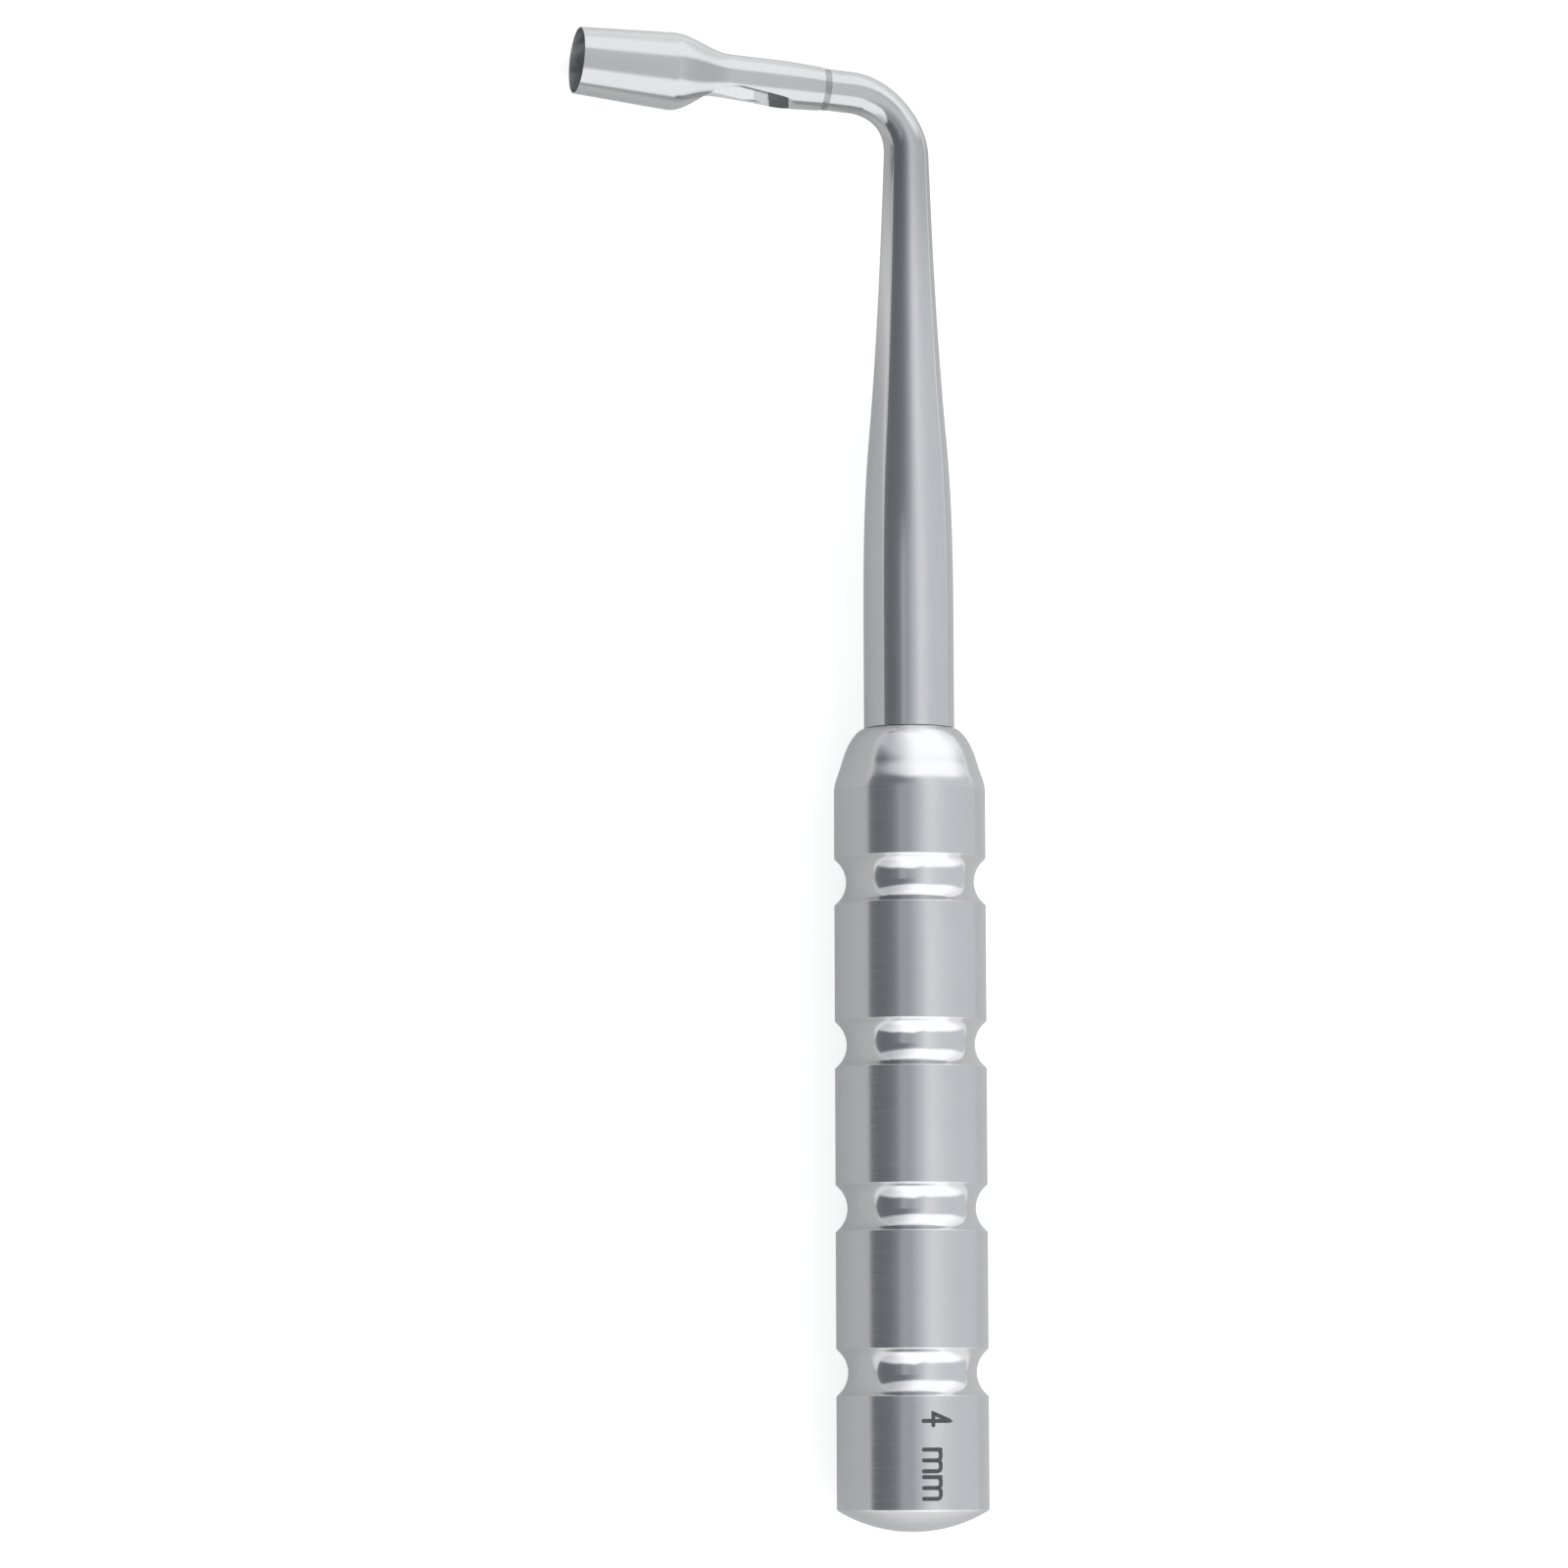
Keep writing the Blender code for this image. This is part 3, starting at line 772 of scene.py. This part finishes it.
FLOOR_HALF = 3.0
FLOOR_DROP = 0.00002
FLOOR_COLOUR = (0.4, 0.4, 0.4, 1)
SEEN_GLOW = 0.79
PLAIN_SHEEN = 0.26
RIGHT_SHEEN = (0.014, 0.026, PLAIN_SHEEN, 0.32)
FRONT_SHEEN = (-0.062, -0.046, 0.36, 0.0)
BEHIND_HEAD_Y = (0.043, 0.056, 0.0, 0.55)
BEHIND_HEAD_X = (-0.03, -0.012, 0.0, 1.0)
BEFORE_HEAD_Y = (0.025, 0.034, 0.0, 0.22)
UNDER_HEAD_Y = (0.036, 0.043, 0.0, 0.12)
BEFORE_HEAD_X = (0.003, 0.009, 1.0, 0.0)


def white_paper():
    """Pale matt paper; what metal reflects of it is brighter in a few broad patches."""
    material, tree, shader = new_material("white_paper")
    shader.inputs["Base Color"].default_value = FLOOR_COLOUR
    shader.inputs["Roughness"].default_value = 1
    shader.inputs["Specular IOR Level"].default_value = 0
    place = add(tree, "ShaderNodeSeparateXYZ", {"Vector": add(tree, "ShaderNodeTexCoord").outputs["Object"]})
    x, y = place.outputs["X"], place.outputs["Y"]
    behind_head = maths(tree, "MULTIPLY", blend(tree, y, *BEHIND_HEAD_Y), blend(tree, x, *BEHIND_HEAD_X))
    before_head = maths(tree, "SUBTRACT", blend(tree, y, *BEFORE_HEAD_Y), blend(tree, y, *UNDER_HEAD_Y))
    before_head = maths(tree, "MULTIPLY", before_head, blend(tree, x, *BEFORE_HEAD_X))
    left = maths(tree, "ADD", maths(tree, "ADD", before_head, PLAIN_SHEEN), behind_head)
    sheen = maths(tree, "MAXIMUM", blend(tree, x, *RIGHT_SHEEN), left)
    sheen = maths(tree, "ADD", sheen, blend(tree, y, *FRONT_SHEEN))
    rays = add(tree, "ShaderNodeLightPath").outputs
    mirrored = maths(tree, "MAXIMUM", rays["Is Glossy Ray"], rays["Is Transmission Ray"])
    in_metal = maths(tree, "MULTIPLY", mirrored, sheen)
    glow = maths(tree, "MULTIPLY_ADD", rays["Is Camera Ray"], SEEN_GLOW, in_metal)
    lit = add(tree, "ShaderNodeEmission", {"Color": (1, 1, 1, 1), "Strength": glow}).outputs[0]
    both = add(tree, "ShaderNodeAddShader", {0: shader.outputs[0], 1: lit}).outputs[0]
    tree.links.new(both, tree.nodes["Material Output"].inputs["Surface"])
    return material


floor_mesh = bmesh.new()
floor_mesh.faces.new([
    floor_mesh.verts.new((x * FLOOR_HALF, y * FLOOR_HALF, -FLOOR_DROP))
    for x, y in ((-1, -1), (1, -1), (1, 1), (-1, 1))
])
floor_data = bpy.data.meshes.new("floor")
floor_mesh.to_mesh(floor_data)
floor_mesh.free()
floor_data.materials.append(white_paper())
floor = bpy.data.objects.new("floor", floor_data)
bpy.context.scene.collection.objects.link(floor)


# The studio. Each ring of light is a row of (angle round the Y axis from straight up towards +X, brightness)
# and runs evenly from one to the next. The rings lie side by side along Y, and lift is the angle towards +Y.

RIGHT_LIGHTS = (
    (3, 0.94), (12, 0.95), (22, 0.89), (31, 0.84), (48, 0.79), (64, 0.79), (84, 0.77), (98, 0.74), (108, 0.78),
    (120, 0.7), (180, 0.7),
)
SIDE_LIGHTS = (
    (-180, 0.5), (-97, 0.62), (-88, 0.24), (-75, 0.2), (-60, 0.215), (-47, 0.29), (-38, 0.53), (-33, 0.5),
    (-26, 0.47), (-19, 0.58), (-8, 0.74), *RIGHT_LIGHTS,
)
RISING_LIGHTS = (
    (-180, 0.5), (-97, 0.62), (-88, 0.24), (-75, 0.2), (-52, 0.22), (-42, 0.24), (-30, 0.33), (-18, 0.5),
    (-7, 0.76), *RIGHT_LIGHTS,
)
FAR_LIGHTS = (
    (-180, 0.5), (-110, 0.72), (-85, 0.72), (-70, 0.68), (-45, 0.92), (-25, 1.28), (-10, 1.5), (60, 1.5),
    (84, 1.2), (105, 0.9), (180, 0.6),
)
NEAR_LIGHTS = (
    (-180, 0.55), (-115, 0.72), (-70, 0.9), (-52, 1.2), (-38, 1.5), (70, 1.5), (86, 1.2), (100, 0.9),
    (180, 0.6),
)
# Lifts in degrees between which one ring gives way to the next, from the side lights outwards
RISE_EDGE = (9, 13)
FAR_EDGE = (28, 38)
FAR_HORIZON = (70, 82)
FAR_HORIZON_LEVEL = 0.76
NEAR_EDGE = (19, 29)
# The far and near edges lean on the left side and shift by some degrees between two angles round the Y axis
LEAN_START = -20
EDGE_LEAN = 0.18
FAR_LEAN_SHARE = 0.8
FAR_SHIFTS = ((10, 60, 5),)
NEAR_SHIFTS = ((-62, -40, 5), (-22, 0, 8), (0, 12, -5), (30, 60, -3))
# Near the Y axis the rings are drawn closer round straight up
POLE_FADE = (50, 80)
POLE_SHARE = 0.5
DARK_TINT = (0.905, 1.0, 1.085)
LIGHT_TINT = (0.99, 1.0, 1.025)
WHITE = (1, 1, 1, 1)


def faded(tree, value, start, end, low=0.0, high=1.0):
    """Runs from low to high as an angle goes from start to end in degrees."""
    return blend(tree, value, math.radians(start), math.radians(end), low, high)


def ring_of_light(tree, share, lights):
    """The colour of a ring of light at a share of the way round it; dim light is bluer."""
    node = add(tree, "ShaderNodeValToRGB", {"Fac": share})
    elements = node.color_ramp.elements
    while len(elements) > 1:
        elements.remove(elements[-1])
    for number, (degrees, level) in enumerate(lights):
        position = (degrees + 180) / 360
        element = elements[0] if number == 0 else elements.new(position)
        element.position = position
        near_white = min(level, 1)
        tint = [dark + (light - dark) * near_white for dark, light in zip(DARK_TINT, LIGHT_TINT)]
        element.color = (*[level * part for part in tint], 1)
    return node.outputs["Color"]


def mixed(tree, share_of_second, first, second):
    """Blends two colours."""
    node = add(tree, "ShaderNodeMix", data_type="RGBA")
    tree.links.new(share_of_second, node.inputs[0])
    tree.links.new(first, node.inputs[6])
    tree.links.new(second, node.inputs[7])
    return node.outputs[2]


def shifted(tree, lift, angle, shifts):
    """Adds to a lift, for each shift, some degrees as the angle goes from one to another."""
    for start, end, by in shifts:
        lift = maths(tree, "ADD", lift, faded(tree, angle, start, end, high=math.radians(by)))
    return lift


def studio():
    """Soft broad lights round the part, and a white background for the camera."""
    world = bpy.data.worlds.new("studio")
    world.use_nodes = True
    tree = world.node_tree
    way = add(tree, "ShaderNodeSeparateXYZ", {"Vector": add(tree, "ShaderNodeTexCoord").outputs["Generated"]})
    angle = maths(tree, "ARCTAN2", way.outputs["X"], way.outputs["Z"])
    lift = maths(tree, "ARCSINE", way.outputs["Y"])
    closer = faded(tree, maths(tree, "ABSOLUTE", lift), *POLE_FADE, low=1.0, high=POLE_SHARE)
    share = blend(tree, maths(tree, "MULTIPLY", angle, closer), -math.pi, math.pi, kind="LINEAR")

    leftward = maths(tree, "MULTIPLY_ADD", maths(tree, "MINIMUM", angle, math.radians(LEAN_START)),
                     EDGE_LEAN, -math.radians(LEAN_START) * EDGE_LEAN)
    far_lift = shifted(tree, maths(tree, "MULTIPLY_ADD", leftward, FAR_LEAN_SHARE, lift), angle, FAR_SHIFTS)
    near_lift = shifted(tree, maths(tree, "SUBTRACT", lift, leftward), angle, NEAR_SHIFTS)
    near_drop = maths(tree, "MULTIPLY", near_lift, -1.0)

    rings = [
        ring_of_light(tree, share, lights) for lights in (SIDE_LIGHTS, RISING_LIGHTS, FAR_LIGHTS, NEAR_LIGHTS)
    ]
    side, rising, far, near = rings
    far_level = faded(tree, lift, *FAR_HORIZON, low=1.0, high=FAR_HORIZON_LEVEL)
    far = add(tree, "ShaderNodeVectorMath", {0: far, "Scale": far_level}, operation="SCALE").outputs[0]
    light = mixed(tree, faded(tree, lift, *RISE_EDGE), side, rising)
    light = mixed(tree, faded(tree, far_lift, *FAR_EDGE), light, far)
    light = mixed(tree, faded(tree, near_drop, *NEAR_EDGE), light, near)

    lights = add(tree, "ShaderNodeBackground", {"Color": light, "Strength": 1.0}).outputs[0]
    white = add(tree, "ShaderNodeBackground", {"Color": WHITE, "Strength": 1.0}).outputs[0]
    seen = add(tree, "ShaderNodeLightPath").outputs["Is Camera Ray"]
    both = add(tree, "ShaderNodeMixShader", {0: seen, 1: lights, 2: white}).outputs[0]
    tree.links.new(both, tree.nodes["World Output"].inputs["Surface"])
    return world


bpy.context.scene.world = studio()


# The camera, where the photographer's stood

CAMERA_PLACE = (-0.154417, -0.040397, 0.372345)
CAMERA_TURN = (5.7928, -22.7464, -0.2126)
SENSOR_WIDTH = 36
FOCAL_LENGTH = 150.75
NEAREST_SEEN = 0.01

camera_data = bpy.data.cameras.new("camera")
camera_data.sensor_width = SENSOR_WIDTH
camera_data.lens = FOCAL_LENGTH
camera_data.clip_start = NEAREST_SEEN
camera = bpy.data.objects.new("camera", camera_data)
camera.location = CAMERA_PLACE
camera.rotation_euler = [math.radians(degrees) for degrees in CAMERA_TURN]
bpy.context.scene.collection.objects.link(camera)
bpy.context.scene.camera = camera
bpy.context.scene.view_settings.view_transform = "Standard"

bpy.context.view_layer.update()
